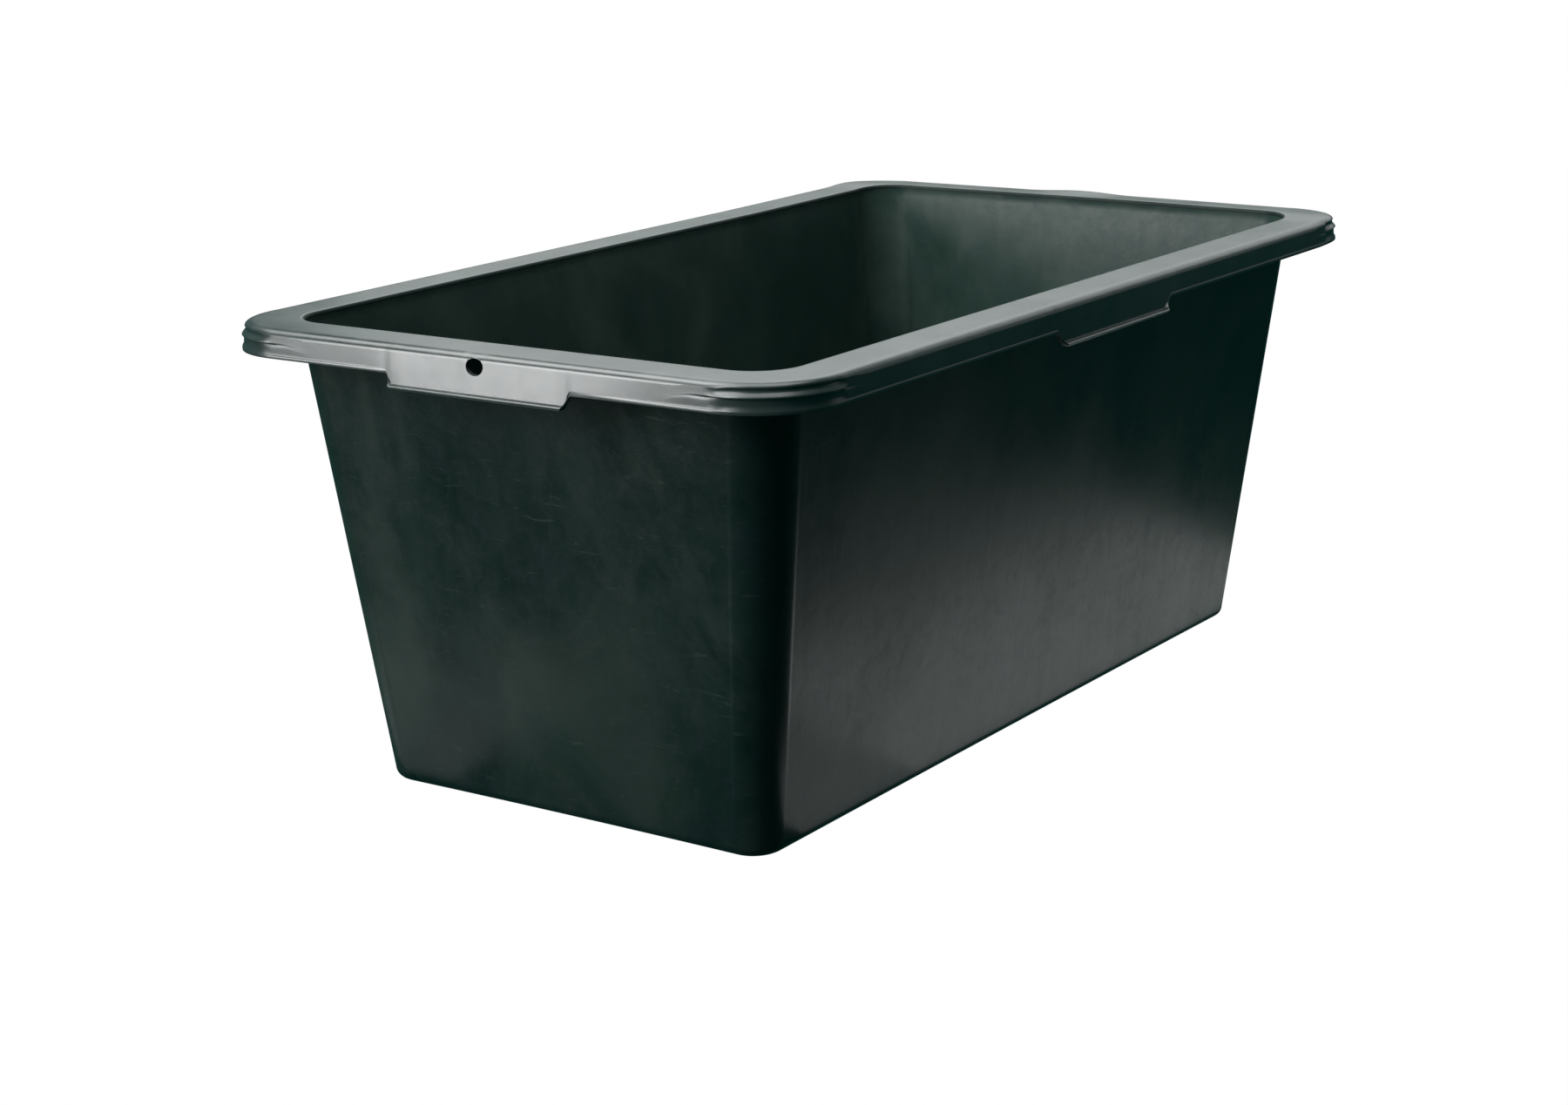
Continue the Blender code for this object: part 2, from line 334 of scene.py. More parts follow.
shell = {
    "footHalfX": 0.313,
    "footHalfY": 0.1505,
    "footRadius": 0.022,
    "topHalfX": 0.34425,
    "topHalfY": 0.18675,
    "topRadius": 0.032,
    "thickness": 0.003,
    "footFillet": 0.0075,
    "insideFillet": 0.009,
    "floorShares": [0.02, 0.15, 0.3, 0.45, 0.6, 0.75, 0.88, 0.96],
    "insideFrom": 0.03,
    "insideDrops": (0.07, 0.055, 0.042, 0.03, 0.02),  # depths of the inside's upper rows
    # the last of the wall eases from the shell's taper to the opening's edge: (share, depth)
    "easing": ((0.0, 0.0085), (0.25, 0.0058), (0.75, 0.0042)),
    "outsideDrop": 0.0012,
    "outsideFrom": 0.012,
    "outsideAbove": 0.004,
    "outsideRows": 15,
}


def shellOutline(z, inset=0.0):
    # the shell's outline at a height
    share = max(0.0, (z - shell["footFillet"]) / (rimTop - shell["footFillet"]))
    sizes = [
        shell["foot" + size] + (shell["top" + size] - shell["foot" + size]) * share
        for size in ("HalfX", "HalfY", "Radius")
    ]
    return outline(*sizes, inset)


# Every row of the tub's skin, from the middle of the floor's top, up the inside, over the rim,
# down the skirt, back up behind it and down the outside to the middle of the underside
rows = []


def addRow(zone, plan, z):
    rows.append((zone, plan, np.broadcast_to(np.asarray(z, float), (stationCount,)).copy()))


def addRowsBetween(zone, start, end, shares, z):
    for share in shares:
        addRow(zone, start * (1 - share) + end * share, z)


floorTop = shell["thickness"]
insideRadius = shell["insideFillet"]
insideFoot = shellOutline(shell["footFillet"], shell["thickness"] + insideRadius)
for share in shell["floorShares"]:
    addRow("floorTop", insideFoot * share, floorTop)
for t in quarterTurn(8):
    z = floorTop + insideRadius * (1 - math.cos(t))
    inset = shell["thickness"] + insideRadius * (1 - math.sin(t))
    addRow("inside", shellOutline(z, inset), z)
firstDrop, *upperDrops = shell["insideDrops"]
insideLevels = list(np.linspace(shell["insideFrom"], rimTop - firstDrop, 7))
for z in insideLevels + [rimTop - drop for drop in upperDrops]:
    addRow("inside", shellOutline(z, shell["thickness"]), z)
openingHalves = (rimHalfX - rim["openingInset"], rimHalfY - rim["openingInset"])
openingOutline = outline(*openingHalves, rim["openingRadius"])
joinHeight = rimTop - rim["flangeThickness"]
for share, drop in shell["easing"]:
    z = rimTop - drop
    wallPlan = shellOutline(z, shell["thickness"])
    addRow("inside", wallPlan * (1 - share) + openingOutline * share, z)
joinRow = len(rows)
addRow("rim", openingOutline, joinHeight)
bendTurns = quarterTurn(6)
for t in bendTurns:
    bent = openingOutline + facing * (rim["bendRadius"] * (1 - math.cos(t)))
    addRow("rim", bent, rimTop - rim["bendRadius"] * (1 - math.sin(t)))
rimOutline = outline(rimHalfX, rimHalfY, rim["cornerRadius"])
flatStart = openingOutline + facing * rim["bendRadius"]
flatEnd = rimOutline - facing * sectionPoints[0][0][:, None]
addRowsBetween("rim", flatStart, flatEnd, (0.06, 0.2, 0.4, 0.6, 0.8, 0.94), rimTop)
firstSectionRow = len(rows)
for inset, depth in sectionPoints:
    addRow("skirt", rimOutline - facing * inset[:, None], rimTop - depth)
shoulderRow = firstSectionRow + shoulderEnd
innerSkirtRow = len(rows) - 1
outsideTop = shellOutline(joinHeight)
addRowsBetween("under", rows[-1][1], outsideTop, (0.2, 0.5, 0.8, 0.94), joinHeight)
outsideJoin = len(rows)
addRow("outside", outsideTop, joinHeight - shell["outsideDrop"])
outsideHigh = rimTop - shell["outsideFrom"]
outsideLow = shell["footFillet"] + shell["outsideAbove"]
for z in np.linspace(outsideHigh, outsideLow, shell["outsideRows"]):
    addRow("outside", shellOutline(z), z)
for t in quarterTurn(9):
    z = shell["footFillet"] * (1 - math.sin(t))
    addRow("outside", shellOutline(z, shell["footFillet"] * (1 - math.cos(t))), z)
outsideFoot = rows[-1][1]
for share in reversed(shell["floorShares"]):
    addRow("underside", outsideFoot * share, 0.0)
rowCount = len(rows)
print("tub skin:", rowCount, "rows")

zones = np.array([zone for zone, _, _ in rows])
skin = np.stack([np.concatenate([plan, z[:, None]], axis=1) for _, plan, z in rows])

# The small bows, dips and bulges that the mould and the cooling leave. A pair is where a ramp
# starts and its length, or a bump's middle and its reach.
warp = {
    "endArch": 0.0007,
    "sideArch": 0.0006,
    "archFades": 0.07,
    "archPower": 1.5,
    "archMargin": 0.012,
    "rimStarts": (0.24, 0.05),
    "farLift": 0.0010,
    "farLiftAlong": (0.15, 0.2),
    "farLiftAcross": (-0.2, 0.2),
    "farTilt": 0.0010,
    "farTiltPlace": (0.338, 0.034),
    "farBump": 0.0016,
    "farBumpAcross": (0.0115, 0.046),
    "farBumpStarts": (0.345, 0.022),
    "wallBow": 0.0009,
    "sinkDepth": 0.00012,
    "sinkReach": 0.0045,
    "wallSink": 1.5,
    "wallSinkStarts": (0.06, 0.04),
    "endRidge": 0.00004,
    "ridgeReach": 0.0034,
    "ridgeInset": 0.003,
}


def bump(value, middle, reach):
    distance = value - middle
    return np.where(abs(distance) < reach, 0.5 + 0.5 * np.cos(math.pi * distance / reach), 0)


def arch(value, footHalf):
    return np.clip(1 - (value / (footHalf - warp["archMargin"])) ** 2, 0, 1)


def hump(value, middle, reach):
    return np.exp(-(((value - middle) / reach) ** 2))


def warped(points, turn, side, isSkirt, isWall):
    x, y, z = points[..., 0], points[..., 1], points[..., 2]
    moved = points.copy()
    # the floor and the foot arch up between the corners
    low = np.clip(1 - z / warp["archFades"], 0, 1) ** warp["archPower"]
    archEnds = warp["endArch"] * arch(y, shell["footHalfY"])
    archSides = warp["sideArch"] * arch(x, shell["footHalfX"])
    moved[..., 2] += (archEnds + archSides) * low
    # the far end of the rim stands a little high
    high = ramp(z, *warp["rimStarts"])
    lift = warp["farLift"] * ramp(x, *warp["farLiftAlong"]) * ramp(y, *warp["farLiftAcross"])
    tilt = warp["farTilt"] * bump(x, *warp["farTiltPlace"])
    swell = warp["farBump"] * bump(y, *warp["farBumpAcross"]) * ramp(x, *warp["farBumpStarts"])
    moved[..., 2] += (lift + tilt + swell) * high
    # the walls bow inward at mid height
    share = np.clip(z / rimTop, 0, 1)
    along = np.where(side % 2 == 0, y / rimHalfY, x / rimHalfX)
    bow = warp["wallBow"] * np.sin(math.pi * share) * np.clip(1 - along**2, 0, 1) * (side >= 0)
    moved[..., 0] -= np.cos(turn) * bow * isWall
    moved[..., 1] -= np.sin(turn) * bow * isWall
    # sinks over the gussets and faint ridges beside the grips
    push = np.zeros_like(x)
    for number, name in enumerate(sideNames):
        here = side == number
        place = y if number % 2 == 0 else x
        for middle in gussetPlaces[name].values():
            push -= here * warp["sinkDepth"] * hump(place, middle, warp["sinkReach"])
        ends = grip["ends"][name]
        for middle in (ends[0] + warp["ridgeInset"], ends[3] - warp["ridgeInset"]):
            push += here * warp["endRidge"] * hump(place, middle, warp["ridgeReach"])
    # the gussets also show faintly through the top of the walls
    sinkBelow, sinkRamp = warp["wallSinkStarts"]
    onWall = isWall * warp["wallSink"] * ramp(z, rimTop - sinkBelow, sinkRamp)
    push = push * np.maximum(isSkirt, onWall)
    moved[..., 0] += np.cos(turn) * push
    moved[..., 1] += np.sin(turn) * push
    return moved


isSkirt = (zones == "skirt")[:, None] * np.ones(stationCount)
isWall = np.isin(zones, ["inside", "outside"])[:, None] * np.ones(stationCount)
turnGrid = np.broadcast_to(turns, (rowCount, stationCount))
sideGrid = np.broadcast_to(sides, (rowCount, stationCount))
skin = warped(skin, turnGrid, sideGrid, isSkirt, isWall)


def newPiece(name, points, faces, sharpAngle=42):
    mesh = bpy.data.meshes.new(name)
    mesh.from_pydata([tuple(p) for p in points], [], faces)
    mesh.validate()
    cleaned = bmesh.new()
    cleaned.from_mesh(mesh)
    bmesh.ops.recalc_face_normals(cleaned, faces=cleaned.faces)
    cleaned.to_mesh(mesh)
    cleaned.free()
    mesh.shade_smooth()
    mesh.set_sharp_from_angle(angle=math.radians(sharpAngle))
    piece = bpy.data.objects.new(name, mesh)
    bpy.context.collection.objects.link(piece)
    return piece


# The hole goes through the skirt in two patches, outer and inner: the skin's squares round it
# give way to rings that shrink to its edge, and a throat joins the two


def nearHole(station):
    distance = abs(alongs[station] - hangingHole["place"])
    return sides[station] == 2 and distance < hangingHole["patchReach"]


holeStations = [i for i in range(stationCount) if nearHole(i)]
holeLow, holeHigh = holeStations[0], holeStations[-1]
middleStation = holeStations[len(holeStations) // 2]


def depthAtHole(row):
    return rimTop - rows[row][2][middleStation]


def rowAtDepth(low, high, wanted):
    return low + int(np.argmin([abs(depthAtHole(r) - wanted) for r in range(low, high)]))


holeTop = hangingHole["depth"] - hangingHole["halfHeight"]
holeFoot = hangingHole["depth"] + hangingHole["halfHeight"]
lipEndRow = firstSectionRow + lipEnd
outerLow = rowAtDepth(firstSectionRow, shoulderRow + 1, holeTop - hangingHole["patchAbove"])
outerHigh = rowAtDepth(shoulderRow, lipEndRow, holeFoot + hangingHole["patchBelow"])
innerLow = rowAtDepth(lipEndRow + 2, innerSkirtRow, holeFoot + hangingHole["patchBehind"])
innerHigh = innerSkirtRow - 1


def skinIndex(row, station):
    return row * stationCount + station % stationCount


def patchLoop(rowLow, rowHigh):
    # the patch's border, as (row, station) pairs in order
    loop = [(rowLow, s) for s in range(holeLow, holeHigh)]
    loop += [(r, holeHigh) for r in range(rowLow, rowHigh)]
    loop += [(rowHigh, s) for s in range(holeHigh, holeLow, -1)]
    loop += [(r, holeLow) for r in range(rowHigh, rowLow, -1)]
    return loop


def insetAtHole(depth, low, high):
    # the inset of the skirt's outer or inner face at a depth, at the hole
    between = range(low, high + 1)
    depths = np.array([depthAtHole(r) for r in between])
    insets = np.array([sectionPoints[r - firstSectionRow][0][middleStation] for r in between])
    order = np.argsort(depths)
    return float(np.interp(depth, depths[order], insets[order]))


def holeAngle(place, depth):
    down = (depth - hangingHole["depth"]) / hangingHole["halfHeight"]
    return math.atan2(down, (place - hangingHole["place"]) / hangingHole["halfWidth"])


def holePoint(angle, grow=1.0):
    # the place and depth on the hole's edge at an angle
    place = hangingHole["place"] + grow * hangingHole["halfWidth"] * math.cos(angle)
    return place, hangingHole["depth"] + grow * hangingHole["halfHeight"] * math.sin(angle)


extraPoints, extraFaces = [], []


def addExtra(point):
    extraPoints.append(point)
    return stationCount * rowCount + len(extraPoints) - 1


def addPatch(rowLow, rowHigh):
    # rings of squares from the patch's border to the hole's edge; gives the last ring
    loop = patchLoop(rowLow, rowHigh)
    border = [(skin[r, s, 1], rimTop - rows[r][2][s]) for r, s in loop]
    grow = 1 + hangingHole["edge"] / hangingHole["halfWidth"]
    lastRing = [skinIndex(r, s) for r, s in loop]
    for share in hangingHole["patchShares"]:
        ring = []
        for place, depth in border:
            holePlace, holeDepth = holePoint(holeAngle(place, depth), grow)
            p = place + (holePlace - place) * share
            d = depth + (holeDepth - depth) * share
            ring.append(addExtra((-rimHalfX + insetAtHole(d, rowLow, rowHigh), p, rimTop - d)))
        for i in range(len(ring)):
            j = (i + 1) % len(ring)
            extraFaces.append((lastRing[i], lastRing[j], ring[j], ring[i]))
        lastRing = ring
    return lastRing


def bridge(ringA, ringB):
    # triangles between two rings round the hole, matched by angle
    def angleOf(index):
        point = extraPoints[index - stationCount * rowCount]
        return holeAngle(point[1], rimTop - point[2]) % (2 * math.pi)

    a = sorted(ringA, key=angleOf)
    b = sorted(ringB, key=angleOf)
    anglesA = [angleOf(i) for i in a]
    anglesB = [angleOf(i) for i in b]
    i = j = 0
    while i < len(a) or j < len(b):
        nextA = anglesA[i + 1] if i + 1 < len(a) else 2 * math.pi + anglesA[0]
        nextB = anglesB[j + 1] if j + 1 < len(b) else 2 * math.pi + anglesB[0]
        if j >= len(b) or (i < len(a) and nextA <= nextB):
            extraFaces.append((a[i], a[(i + 1) % len(a)], b[j % len(b)]))
            i += 1
        else:
            extraFaces.append((a[i % len(a)], b[(j + 1) % len(b)], b[j]))
            j += 1


outerRing = addPatch(outerLow, outerHigh)
innerRing = addPatch(innerLow, innerHigh)
outerX = -rimHalfX + rim["faceInset"] + hangingHole["throatInset"]
innerX = -rimHalfX + rim["faceInset"] + rim["skirtThickness"] - hangingHole["throatInset"]
lastRing = outerRing
for share in hangingHole["throatRows"]:
    ring = []
    for i in range(hangingHole["throatSteps"]):
        place, depth = holePoint(2 * math.pi * i / hangingHole["throatSteps"])
        ring.append(addExtra((outerX + (innerX - outerX) * share, place, rimTop - depth)))
    bridge(lastRing, ring)
    lastRing = ring
bridge(lastRing, innerRing)

extra = np.array(extraPoints)
noShare = np.zeros(len(extra))
extra = warped(extra, noShare + math.pi, noShare + 2, noShare, noShare)
allSkin = np.concatenate([skin.reshape(-1, 3), extra])


def square(rowA, rowB, s):
    return (skinIndex(rowA, s), skinIndex(rowA, s + 1), skinIndex(rowB, s + 1), skinIndex(rowB, s))


def inPatch(row, station):
    inRows = outerLow <= row < outerHigh or innerLow <= row < innerHigh
    return holeLow <= station < holeHigh and inRows


def bandFaces(rowLow, rowHigh):
    # squares between two rows of the skin, with the hole's patches left open
    return [
        square(r, r + 1, s)
        for r in range(rowLow, rowHigh)
        for s in range(stationCount)
        if not inPatch(r, s)
    ]


def closingFaces(rowA, rowB):
    return [square(rowA, rowB, s) for s in range(stationCount)]


def splitFaces():
    # close the flange and the skirt where they meet; round the hole the split rises to the
    # patch's top
    faces = []
    for s in range(stationCount):
        top = outerLow if holeLow <= s < holeHigh else shoulderRow
        faces.append(square(top, innerSkirtRow, s))
    for s in (holeLow, holeHigh):
        for r in range(outerLow, shoulderRow):
            faces.append((skinIndex(r, s), skinIndex(r + 1, s), skinIndex(innerSkirtRow, s)))
    return faces


def rowFace(row):
    return [tuple(skinIndex(row, s) for s in range(stationCount))]


def pieceFrom(name, faces):
    used = sorted({i for face in faces for i in face})
    renumber = {old: new for new, old in enumerate(used)}
    return newPiece(name, allSkin[used], [tuple(renumber[i] for i in face) for face in faces])


shellFaces = rowFace(0) + bandFaces(0, joinRow) + bandFaces(outsideJoin, rowCount - 1)
shellFaces += closingFaces(joinRow, outsideJoin) + rowFace(rowCount - 1)
flangeFaces = bandFaces(joinRow, shoulderRow) + splitFaces()
flangeFaces += bandFaces(innerSkirtRow, outsideJoin) + closingFaces(outsideJoin, joinRow)
skirtFaces = bandFaces(shoulderRow, innerSkirtRow) + splitFaces() + extraFaces

tubShell = pieceFrom("tub_shell", shellFaces)
rimFlange = pieceFrom("rim_flange", flangeFaces)
rimSkirt = pieceFrom("rim_skirt", skirtFaces)
faceCounts = [len(piece.data.polygons) for piece in (tubShell, rimFlange, rimSkirt)]
print("shell, flange and skirt:", faceCounts, "faces")

# Gussets are thin webs under the rim, between the wall and the skirt
gusset = {
    "thickness": 0.0025,
    "depth": 0.015,
    "reachIn": 0.0003,
    "bevel": 0.0004,
    "footRise": 0.2,
    "sag": 0.0022,
    "sagSteps": 9,
    "draft": 0.0003,
    "sharpAngle": 30,
}


def gussetSection(topHalf, footHalf, half):
    # (inset, depth) points round a web, with a sagging foot edge
    wall = half - topHalf
    skirtFace = rim["faceInset"] + rim["skirtThickness"] - gusset["reachIn"]
    under = rim["flangeThickness"] - gusset["reachIn"]
    wallFoot = wall + (topHalf - footHalf) * gusset["depth"] / rimTop + gusset["reachIn"]
    section = [(skirtFace, under), (wall + gusset["reachIn"], under), (wallFoot, gusset["depth"])]
    for step in range(1, gusset["sagSteps"]):
        share = step / gusset["sagSteps"]
        straight = gusset["depth"] * (1 - gusset["footRise"] * share)
        sag = gusset["sag"] * math.sin(math.pi * share)
        section.append((wallFoot + (skirtFace - wallFoot) * share, straight - sag))
    section.append((skirtFace, (1 - gusset["footRise"]) * gusset["depth"]))
    return section


gussets = []
for number, sideName in enumerate(sideNames):
    half, size = (rimHalfX, "HalfX") if number % 2 == 0 else (rimHalfY, "HalfY")
    section = gussetSection(shell["top" + size], shell["foot" + size], half)
    count = len(section)
    outward = Vector((math.cos(math.pi / 2 * number), math.sin(math.pi / 2 * number), 0))
    tangent = Vector((0, 1, 0)) if number % 2 == 0 else Vector((1, 0, 0))
    for name, place in gussetPlaces[sideName].items():
        points = []
        for end in (-1, 1):
            for inset, depth in section:
                draft = gusset["draft"] * depth / gusset["depth"]
                along = place + end * (gusset["thickness"] / 2 - draft)
                upright = Vector((0, 0, rimTop - depth))
                points.append(outward * (half - inset) + tangent * along + upright)
        faces = [tuple(range(count)), tuple(range(count, 2 * count))]
        for i in range(count):
            j = (i + 1) % count
            faces.append((i, j, count + j, count + i))
        web = newPiece(name + "_web", points, faces, gusset["sharpAngle"])
        rounding = web.modifiers.new("rounding", "BEVEL")
        rounding.width = gusset["bevel"]
        rounding.segments = 2
        rounding.limit_method = "ANGLE"
        gussets.append((web, name))
print("gussets:", len(gussets))


class Shade:
    # wraps a socket so that sums and products of values read as formulas
    def __init__(self, tree, socket=None):
        self.tree, self.socket = tree, socket

    def node(self, kind, settings=None, inputs=None, output=0):
        made = self.tree.nodes.new(kind)
        for key, value in (settings or {}).items():
            setattr(made, key, value)
        for key, value in (inputs or {}).items():
            if isinstance(value, Shade):
                self.tree.links.new(value.socket, made.inputs[key])
            else:
                made.inputs[key].default_value = value
        return Shade(self.tree, made.outputs[output])

    def math(self, operation, first, second):
        return self.node("ShaderNodeMath", {"operation": operation}, {0: first, 1: second})

    def __add__(self, other):
        return self.math("ADD", self, other)

    def __radd__(self, other):
        return self.math("ADD", other, self)

    def __sub__(self, other):
        return self.math("SUBTRACT", self, other)

    def __rsub__(self, other):
        return self.math("SUBTRACT", other, self)

    def __mul__(self, other):
        return self.math("MULTIPLY", self, other)

    def __rmul__(self, other):
        return self.math("MULTIPLY", other, self)

    def between(self, low, high):
        # 0 at low, 1 at high, clamped
        settings = {"clamp": True, "interpolation_type": "SMOOTHSTEP"}
        return self.node("ShaderNodeMapRange", settings, {0: self, 1: low, 2: high, 3: 0.0, 4: 1.0})

    def noise(self, scale, detail=4.0, roughness=0.55, warp=0.0):
        sizes = {"Scale": scale, "Detail": detail, "Roughness": roughness, "Distortion": warp}
        return self.node("ShaderNodeTexNoise", {}, {"Vector": self, **sizes})

    def stretched(self, x, y, z):
        return self.node("ShaderNodeVectorMath", {"operation": "MULTIPLY"}, {0: self, 1: (x, y, z)})

    def blend(self, other, factor):
        # colours go through Mix
        inputs = {0: factor, 6: self, 7: other}
        return self.node("ShaderNodeMix", {"data_type": "RGBA"}, inputs, 2)


# Each pattern's size, detail, roughness and distortion, and the values it fades in between
pattern = {
    "cloud": (5.0, 0.6, 0.6),
    "mottle": (5.0, 0.6, 0.3),
    "fine": (420.0, 3.0, 0.6),
    "grain": (1100.0, 2.0, 0.6),
    "flowStretch": (46.0, 46.0, 5.0),
    "flow": (1.0, 4.0, 0.6, 0.4),
    "scuffStretch": (30.0, 30.0, 240.0),
    "scuff": (1.0, 3.0, 0.7, 1.2),
    "scuffFades": (0.62, 0.74),
    "hazeStretch": (9.0, 9.0, 5.5),
    "haze": (1.0, 6.0, 0.62, 0.9),
    "hazeFades": (0.42, 0.7),
    "blotch": (95.0, 3.0, 0.65, 0.8),
    "blotchFades": (0.4, 0.7),
    "specks": (700.0, 1.0, 0.5),
    "speckFades": (0.72, 0.8),
    "speckShare": 0.06,
    "dustSlope": (0.3, 0.95),
    "dustFades": (0.3, 0.75),
    "patchFades": (0.34, 0.68),
    "mottleFades": (0.42, 0.72),
    "flowFades": (0.5, 0.8),
    "scuffRoughness": 0.24,
    "flowRoughness": 0.15,
    "scuffDepth": 0.0000015,
}


def recycledPlastic(name, look):
    material = bpy.data.materials.new(name)
    material.use_nodes = True
    tree = material.node_tree
    shader = tree.nodes["Principled BSDF"]
    maker = Shade(tree)
    coords = maker.node("ShaderNodeTexCoord", output="Object")
    normal = maker.node("ShaderNodeNewGeometry", output="Normal")
    up = maker.node("ShaderNodeSeparateXYZ", inputs={0: normal}, output=2)

    cloud = coords.noise(look["cloudScale"], *pattern["cloud"])
    mottle = coords.noise(look["mottleScale"], *pattern["mottle"])
    fine = coords.noise(*pattern["fine"])
    grain = coords.noise(*pattern["grain"])
    flow = coords.stretched(*pattern["flowStretch"]).noise(*pattern["flow"])
    scuff = coords.stretched(*pattern["scuffStretch"]).noise(*pattern["scuff"])
    scuff = scuff.between(*pattern["scuffFades"])
    haze = coords.stretched(*pattern["hazeStretch"]).noise(*pattern["haze"])
    haze = haze.between(*pattern["hazeFades"])
    blotch = coords.noise(*pattern["blotch"]).between(*pattern["blotchFades"])
    specks = coords.noise(*pattern["specks"]).between(*pattern["speckFades"])
    dust = up.between(*pattern["dustSlope"]) * cloud.between(*pattern["dustFades"])

    patches = cloud.between(*pattern["patchFades"])
    streaks = flow.between(*pattern["flowFades"])
    colour = maker.node(
        "ShaderNodeMix", {"data_type": "RGBA"}, {0: patches, 6: look["dark"], 7: look["light"]}, 2
    )
    colour = colour.blend(look["tint"], mottle.between(*pattern["mottleFades"]) * look["mottle"])
    colour = colour.blend(look["light"], streaks * look["flow"])
    colour = colour.blend(look["tint"], blotch * look["blotch"])
    colour = colour.blend(look["film"], haze * look["haze"])
    colour = colour.blend(look["worn"], scuff * look["scuff"])
    colour = colour.blend(look["worn"], specks * pattern["speckShare"])
    colour = colour.blend(look["worn"], dust * look["dust"])
    tree.links.new(colour.socket, shader.inputs["Base Color"])

    rough = look["roughness"] + (cloud - 0.5) * look["roughCloud"]
    rough = rough + (mottle - 0.5) * look["roughMottle"] + (fine - 0.5) * look["roughFine"]
    rough = rough + scuff * look["scuff"] * pattern["scuffRoughness"]
    rough = rough + (flow - 0.5) * look["flow"] * pattern["flowRoughness"]
    rough = rough + (blotch - 0.5 + haze) * look["roughPatches"]
    tree.links.new(rough.socket, shader.inputs["Roughness"])

    height = grain * look["grain"] + fine * look["fine"] + mottle * look["waves"]
    height = height + flow * look["flowWaves"] - scuff * pattern["scuffDepth"]
    inputs = {"Strength": 1.0, "Distance": 1.0, "Height": height}
    bumped = maker.node("ShaderNodeBump", inputs=inputs)
    tree.links.new(bumped.socket, shader.inputs["Normal"])
    shader.inputs["IOR"].default_value = 1.5
    shader.inputs["Specular IOR Level"].default_value = look["specular"]
    return material


shellLook = {
    "dark": (0.0028, 0.0098, 0.008, 1),
    "light": (0.0078, 0.0185, 0.0152, 1),
    "tint": (0.0065, 0.0135, 0.0145, 1),
    "worn": (0.04, 0.058, 0.052, 1),
    "film": (0.021, 0.031, 0.026, 1),
    "haze": 0.5,
    "blotch": 0.4,
    "cloudScale": 9.0,
    "mottleScale": 42.0,
    "mottle": 0.55,
    "flow": 0.35,
    "scuff": 0.25,
    "dust": 0.08,
    "roughness": 0.345,
    "roughCloud": 0.16,
    "roughMottle": 0.1,
    "roughFine": 0.06,
    "roughPatches": 0.05,
    "grain": 0.00002,
    "fine": 0.00003,
    "waves": 0.00016,
    "flowWaves": 0.00012,
    "specular": 0.25,
}
# the rim is the same plastic as the walls; its lighter colours are painted light on the rim's top
# and skirt
rimLitLook = dict(
    shellLook,
    dark=(0.009, 0.0165, 0.0148, 1),
    light=(0.0165, 0.0265, 0.0242, 1),
    tint=(0.015, 0.022, 0.024, 1),
    worn=(0.11, 0.12, 0.118, 1),
    film=(0.034, 0.044, 0.043, 1),
    dust=0.35,
    scuff=0.04,
    blotch=0.25,
    flow=0.12,
    roughness=0.3,
    cloudScale=20.0,
    roughCloud=0.12,
    roughMottle=0.04,
    roughFine=0.02,
    roughPatches=0.012,
    grain=0.000008,
    fine=0.000012,
    waves=0.00008,
    flowWaves=0.00002,
    specular=0.7,
)
# the inside is the same plastic as the outside; its lighter, greener colours are painted light
# standing in for the soft light inside the tub
insideLitLook = dict(
    shellLook,
    dark=(0.012, 0.029, 0.022, 1),
    light=(0.028, 0.05, 0.04, 1),
    tint=(0.013, 0.033, 0.032, 1),
    film=(0.042, 0.062, 0.052, 1),
    haze=0.75,
    blotch=0.5,
)
gussetLook = dict(shellLook, roughness=0.5, mottle=0.3)
# the bend at the opening gets darker colours and a duller finish than the rim's top: painted shade
# along the opening's edge
bendShadeLook = dict(shellLook, roughness=0.5, specular=0.12, dust=0.0)
shellPlastic = recycledPlastic("shellPlastic", shellLook)
insideLitPlastic = recycledPlastic("insideLitPlastic", insideLitLook)
rimLitPlastic = recycledPlastic("rimLitPlastic", rimLitLook)
gussetPlastic = recycledPlastic("gussetPlastic", gussetLook)
bendShadePlastic = recycledPlastic("bendShadePlastic", bendShadeLook)
print("plastics ready")


def finish(piece, plastic, firstPlastic=None, firstCount=0):
    # the shell's first faces are its inside, which gets the lighter copy of the plastic as painted
    # light, and the flange's are the bend at the opening, which gets the darker copy as painted
    # shade
    piece.data.materials.append(plastic)
    if firstPlastic:
        piece.data.materials.append(firstPlastic)
    for face in piece.data.polygons:
        face.material_index = 1 if face.index < firstCount else 0


finish(tubShell, shellPlastic, insideLitPlastic, joinRow * stationCount + 1)
finish(rimFlange, rimLitPlastic, bendShadePlastic, (len(bendTurns) - 1) * stationCount)
finish(rimSkirt, rimLitPlastic)

wallNodes = ["wall_" + s for s in sideNames] + ["wall_corner_" + c for c in cornerNames]
flangeNodes = ["rim_flange_" + s for s in sideNames] + ["rim_corner_" + c for c in cornerNames]
skirtNodes = ["skirt_" + s + "_by_" + n for s in sideNames for n in neighbours[s]]
skirtNodes += ["grip_" + s for s in sideNames] + ["skirt_corner_" + c for c in cornerNames]
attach(tubShell, "root")
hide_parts("floor_panel", *wallNodes)
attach(rimFlange, "root")
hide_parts(*flangeNodes)
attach(rimSkirt, "root")
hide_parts(*skirtNodes)
for web, node in gussets:
    finish(web, gussetPlastic)
    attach(web, "root")
    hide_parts(node)
print("pieces placed")

# The studio is a pale round floor that sweeps up into a wall, lit by soft rectangles
studio = {
    "innerRadius": 3.0,
    "floorRadius": 6.0,
    "sweep": 3.0,
    "wallHeight": 6.0,
    "steps": 96,
    "floorGlow": 1.0,
    "floorShade": 0.02,
    "floorRoughness": 0.9,
    "aim": Vector((0, 0, 0.3)),
    "tableHeight": 0.001,
    "worldColour": (0.06, 1.0, 0.86, 1),
    "worldGlow": 0.068,
}
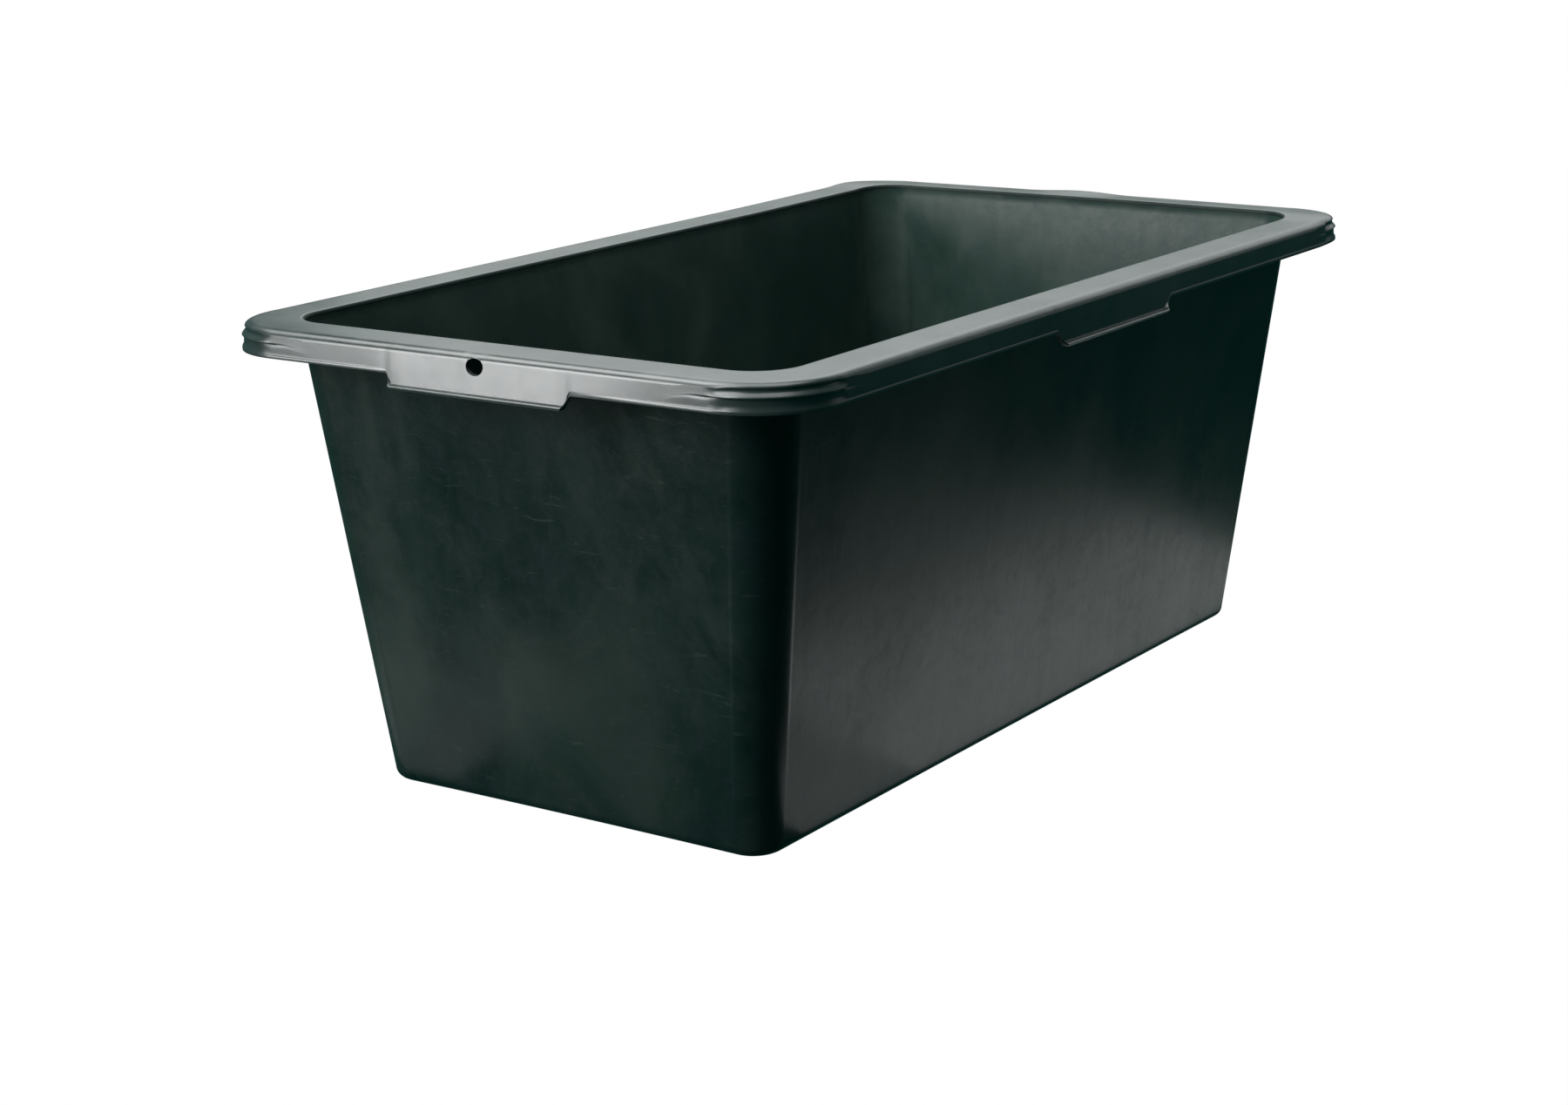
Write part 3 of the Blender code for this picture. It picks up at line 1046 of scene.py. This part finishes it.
# azimuth in degrees, distance, width, height, the middle's height, radiance
softLights = {
    "stripLeft": (147, 2.4, 0.62, 1.1, 0.64, 17.0),
    "stripTop": (152, 2.4, 1.1, 0.8, 1.62, 3.2),
    "backdropGlow": (18, 3.2, 4.1, 1.7, 1.68, 1.22),
    "highLeft": (168, 1.9, 0.4, 1.6, 1.7, 15.0),
    "overLeft": (104, 1.3, 1.5, 0.9, 2.16, 7.0),
    "overBack": (33, 2.0, 1.6, 1.2, 2.2, 1.8),
    "rightFill": (322, 2.6, 1.8, 1.2, 0.9, 0.3),
    "overhead": (200, 0.3, 2.4, 2.4, 2.7, 3.1),
}
# light from the pale table beside the tub: its span along x and y, radiance
tableGlows = {
    "tableFront": ((-0.13, 0.44), (-0.31, -0.155), 1.0),
    "tableCorner": ((-0.262, -0.13), (-0.25, -0.155), 0.62),
    "tableLeft": ((-0.47, -0.325), (0.10, 0.29), 0.7),
}


def paleMaterial(name):
    material = bpy.data.materials.new(name)
    material.use_nodes = True
    shader = material.node_tree.nodes["Principled BSDF"]
    shade = studio["floorShade"]
    shader.inputs["Base Color"].default_value = (shade, shade, shade, 1)
    shader.inputs["Roughness"].default_value = studio["floorRoughness"]
    shader.inputs["Specular IOR Level"].default_value = 0.0
    shader.inputs["Emission Color"].default_value = (1, 1, 1, 1)
    shader.inputs["Emission Strength"].default_value = studio["floorGlow"]
    return material


def addStage():
    steps, sweep = studio["steps"], studio["sweep"]
    profile = [(studio["innerRadius"], 0.0), (studio["floorRadius"], 0.0)]
    for t in quarterTurn(9):
        radius = studio["floorRadius"] + sweep * math.sin(t)
        profile.append((radius, sweep * (1 - math.cos(t))))
    profile.append((studio["floorRadius"] + sweep, studio["wallHeight"]))
    made = bmesh.new()
    rings = []
    for radius, z in profile:
        angles = [2 * math.pi * i / steps for i in range(steps)]
        rings.append(
            [made.verts.new((radius * math.cos(a), radius * math.sin(a), z)) for a in angles]
        )
    made.faces.new(rings[0])
    for a, b in zip(rings, rings[1:]):
        for i in range(steps):
            made.faces.new((a[i], a[(i + 1) % steps], b[(i + 1) % steps], b[i]))
    mesh = bpy.data.meshes.new("studioFloor")
    made.to_mesh(mesh)
    made.free()
    mesh.shade_smooth()
    floor = bpy.data.objects.new("studioFloor", mesh)
    bpy.context.collection.objects.link(floor)
    mesh.materials.append(paleMaterial("paleFloor"))
    floor.visible_glossy = False
    floor.visible_shadow = False
    floor.visible_diffuse = False


def addLight(name, width, height, radiance):
    data = bpy.data.lights.new(name, "AREA")
    data.shape = "RECTANGLE"
    data.size, data.size_y = width, height
    data.energy = radiance * math.pi * width * height
    lamp = bpy.data.objects.new(name, data)
    bpy.context.collection.objects.link(lamp)
    lamp.visible_camera = False
    return lamp


addStage()
for name, (azimuth, distance, width, height, middle, radiance) in softLights.items():
    lamp = addLight(name, width, height, radiance)
    a = math.radians(azimuth)
    lamp.location = Vector((distance * math.cos(a), distance * math.sin(a), middle))
    lamp.rotation_mode = "QUATERNION"
    lamp.rotation_quaternion = (studio["aim"] - lamp.location).to_track_quat("-Z", "Y")
for name, (acrossX, acrossY, radiance) in tableGlows.items():
    lamp = addLight(name, acrossX[1] - acrossX[0], acrossY[1] - acrossY[0], radiance)
    lamp.location = (sum(acrossX) / 2, sum(acrossY) / 2, studio["tableHeight"])
    lamp.rotation_euler = (math.pi, 0, 0)
world = bpy.data.worlds.new("studioWorld")
bpy.context.scene.world = world
world.use_nodes = True
background = world.node_tree.nodes["Background"]
background.inputs["Color"].default_value = studio["worldColour"]
background.inputs["Strength"].default_value = studio["worldGlow"]
bpy.context.scene.view_settings.view_transform = "Standard"
print("studio ready")

view = {
    "lens": 65.46,
    "sensor": 36.0,
    "place": (-1.60055, -1.06415, 0.60962),
    "yaw": 0.606946,
    "pitch": 0.259469,
    "roll": -0.0217585,
    "clip": (0.05, 60),
}
yaw, pitch, roll = view["yaw"], view["pitch"], view["roll"]
level = Vector((math.cos(yaw), math.sin(yaw), 0)) * math.cos(pitch)
ahead = level - Vector((0, 0, math.sin(pitch)))
rightHand = Vector((math.sin(yaw), -math.cos(yaw), 0))
upward = rightHand.cross(ahead)
rightHand, upward = (
    math.cos(roll) * rightHand + math.sin(roll) * upward,
    -math.sin(roll) * rightHand + math.cos(roll) * upward,
)
cameraData = bpy.data.cameras.new("camera")
cameraData.lens, cameraData.sensor_width = view["lens"], view["sensor"]
cameraData.clip_start, cameraData.clip_end = view["clip"]
camera = bpy.data.objects.new("camera", cameraData)
bpy.context.collection.objects.link(camera)
turned = Matrix((rightHand, upward, -ahead)).transposed().to_4x4()
camera.matrix_world = Matrix.Translation(view["place"]) @ turned
bpy.context.scene.camera = camera
